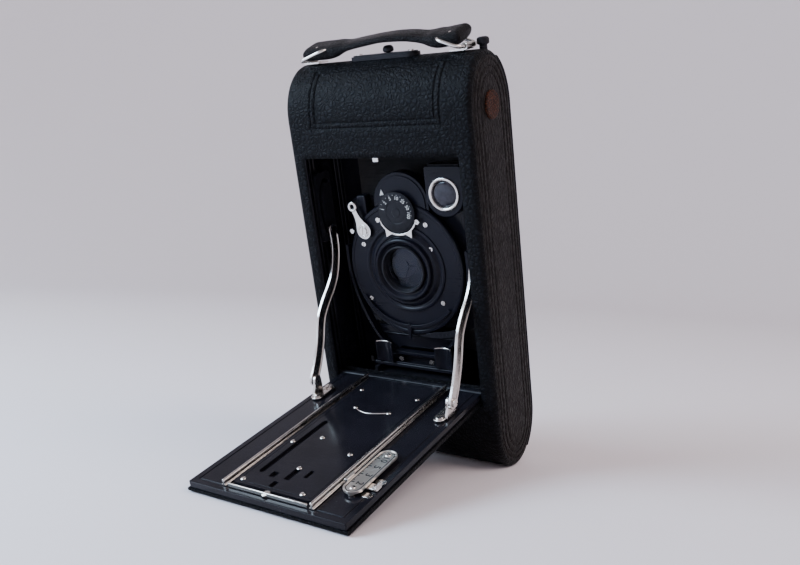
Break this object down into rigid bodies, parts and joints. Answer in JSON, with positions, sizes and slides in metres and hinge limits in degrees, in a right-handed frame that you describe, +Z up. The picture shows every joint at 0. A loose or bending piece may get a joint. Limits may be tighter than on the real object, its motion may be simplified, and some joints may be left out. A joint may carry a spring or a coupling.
{
  "type": "folding hand camera",
  "caption": "Folding roll-film hand camera with a drop bed, track and braces, a sliding lens standard with bellows, shutter and finder, and a lift-off back.",
  "frame": {"origin": "middle of the base of the bounding box, on the surface that the opened camera stands on", "axes": "+Z up, -Y towards the front where the bed reaches out, +X to the right as seen from the front; the body leans forward, resting on its lower rounded end and on the front edge of the bed"},
  "size_m": [0.1086, 0.1516, 0.2072],
  "materials": {
    "leather_front": "black pebbled leather, satin",
    "leather_side": "black pebbled leather, worn slightly brown",
    "worn_leather": "reddish-brown bare leather disc",
    "strap_leather": "smooth black leather",
    "bellows_cloth": "dull black folded leather cloth",
    "enamel": "glossy black enamel",
    "shutter_enamel": "blue-black enamel, satin",
    "black_metal": "black painted metal, satin",
    "nickel": "nickel plate, slightly dulled",
    "nickel_scale": "silvered plate with engraved black divisions",
    "lens_glass": "clear polished glass",
    "ruby": "dark red window"
  },
  "bodies": {
    "camera_body": {"case_front": "leather_front", "case_side_left": "leather_side", "case_side_right": "leather_side", "case_end_upper": "leather_front", "case_end_lower": "leather_front", "chamber_wall_upper": "black_metal", "chamber_wall_lower": "black_metal", "film_gate": "black_metal", "brace_guide_left": "black_metal", "brace_guide_right": "black_metal", "inner_track": "enamel", "bed_catch": "nickel", "bed_hinge_rod": "nickel", "spindle_cap": "worn_leather", "handle_strap": "strap_leather", "handle_loop_left": "nickel", "handle_loop_right": "nickel", "handle_lug_left": "nickel", "handle_lug_right": "nickel", "latch_plate": "black_metal", "back_button": "black_metal"},
    "back": {"back_cover": "leather_side", "frame_window": "ruby", "pressure_plate": "black_metal"},
    "latch": {"latch_knob": "black_metal"},
    "winder": {"take_up_spool": "black_metal", "winding_key": "nickel"},
    "supply": {"supply_spool": "black_metal"},
    "roller_upper": {"film_roller_upper": "nickel"},
    "roller_lower": {"film_roller_lower": "nickel"},
    "bed": {"bed_panel": "enamel", "bed_track": "enamel", "bed_rail_left": "nickel", "bed_rail_right": "nickel", "cross_strip": "nickel", "focus_scale": "nickel_scale", "brace_bracket_left": "nickel", "brace_bracket_right": "nickel"},
    "stop": {"focus_stop": "nickel_scale"},
    "strut_left": {"brace_left": "nickel"},
    "strut_right": {"brace_right": "nickel"},
    "standard": {"standard_base": "enamel", "standard_frame": "enamel", "lens_board": "enamel", "shutter_case": "shutter_enamel", "lens_cell": "black_metal", "lens_front": "lens_glass", "lens_rear": "lens_glass", "dial_housing": "black_metal", "dial_yoke": "nickel", "aperture_scale": "black_metal", "bellows": "bellows_cloth", "finder_body": "black_metal", "finder_lens": "lens_glass", "finder_screen": "lens_glass"},
    "dial": {"speed_dial": "black_metal"},
    "lever": {"release_lever": "nickel"},
    "aperture": {"aperture_pointer": "black_metal"},
    "pinch_left": {"grip_left": "nickel"},
    "pinch_right": {"grip_right": "nickel"}
  },
  "joints": [
    {"name": "bed_hinge", "type": "hinge", "parent": "camera_body", "child": "bed", "pos_m": [0.0032, 0.03345, 0.03831], "axis": [1, 0, 0], "range_deg": [-90, 0]},
    {"name": "brace_left_pivot", "type": "hinge", "parent": "bed", "child": "strut_left", "pos_m": [-0.0364, 0.00605, 0.03809], "axis": [1, 0, 0], "range_deg": [-1, 114]},
    {"name": "brace_right_pivot", "type": "hinge", "parent": "bed", "child": "strut_right", "pos_m": [0.0428, 0.00605, 0.03809], "axis": [1, 0, 0], "range_deg": [-1, 114]},
    {"name": "standard_slide", "type": "slide", "parent": "camera_body", "child": "standard", "axis": [0, -0.954, -0.2997], "range_m": [0, 0.108], "deforming": ["bellows"]},
    {"name": "release_lever_press", "type": "hinge", "parent": "standard", "child": "lever", "pos_m": [-0.0175, 0.01829, 0.11426], "axis": [0, -0.954, -0.2997], "range_deg": [0, 20], "stiffness_Nm_per_rad": 0.01},
    {"name": "speed_dial_turn", "type": "hinge", "parent": "standard", "child": "dial", "pos_m": [0.0032, 0.01529, 0.1238], "axis": [0, -0.954, -0.2997], "range_deg": [0, 120]},
    {"name": "aperture_turn", "type": "hinge", "parent": "standard", "child": "aperture", "pos_m": [0.0032, 0.02398, 0.09613], "axis": [0, -0.954, -0.2997], "range_deg": [0, 35]},
    {"name": "grip_squeeze", "type": "slide", "parent": "standard", "child": "pinch_left", "axis": [1, 0, 0], "range_m": [0, 0.0015], "stiffness_N_per_m": 300},
    {"name": "grip_squeeze_right", "type": "slide", "parent": "standard", "child": "pinch_right", "axis": [-1, 0, 0], "range_m": [0, 0.0015], "stiffness_N_per_m": 300},
    {"name": "focus_stop_slide", "type": "slide", "parent": "bed", "child": "stop", "axis": [0, -0.954, -0.2997], "range_m": [-0.016, 0.002]},
    {"name": "winder_turn", "type": "hinge", "parent": "camera_body", "child": "winder", "pos_m": [0.0032, 0.00774, 0.17122], "axis": [1, 0, 0], "continuous": true},
    {"name": "supply_turn", "type": "hinge", "parent": "camera_body", "child": "supply", "pos_m": [0.0032, 0.05479, 0.02143], "axis": [1, 0, 0], "continuous": true},
    {"name": "roller_upper_turn", "type": "hinge", "parent": "camera_body", "child": "roller_upper", "pos_m": [0.0032, 0.02351, 0.16674], "axis": [1, 0, 0], "continuous": true},
    {"name": "roller_lower_turn", "type": "hinge", "parent": "camera_body", "child": "roller_lower", "pos_m": [0.0032, 0.06456, 0.03603], "axis": [1, 0, 0], "continuous": true},
    {"name": "back_lift", "type": "slide", "parent": "camera_body", "child": "back", "axis": [0, 0.954, 0.2997], "range_m": [0, 0.06]},
    {"name": "latch_slide", "type": "slide", "parent": "camera_body", "child": "latch", "axis": [1, 0, 0], "range_m": [0, 0.0033]}
  ],
  "couplings": [
    {"joint": "brace_left_pivot", "follows": "bed_hinge", "ratio": -1.25},
    {"joint": "brace_right_pivot", "follows": "bed_hinge", "ratio": -1.25},
    {"joint": "grip_squeeze_right", "follows": "grip_squeeze", "ratio": 1}
  ]
}
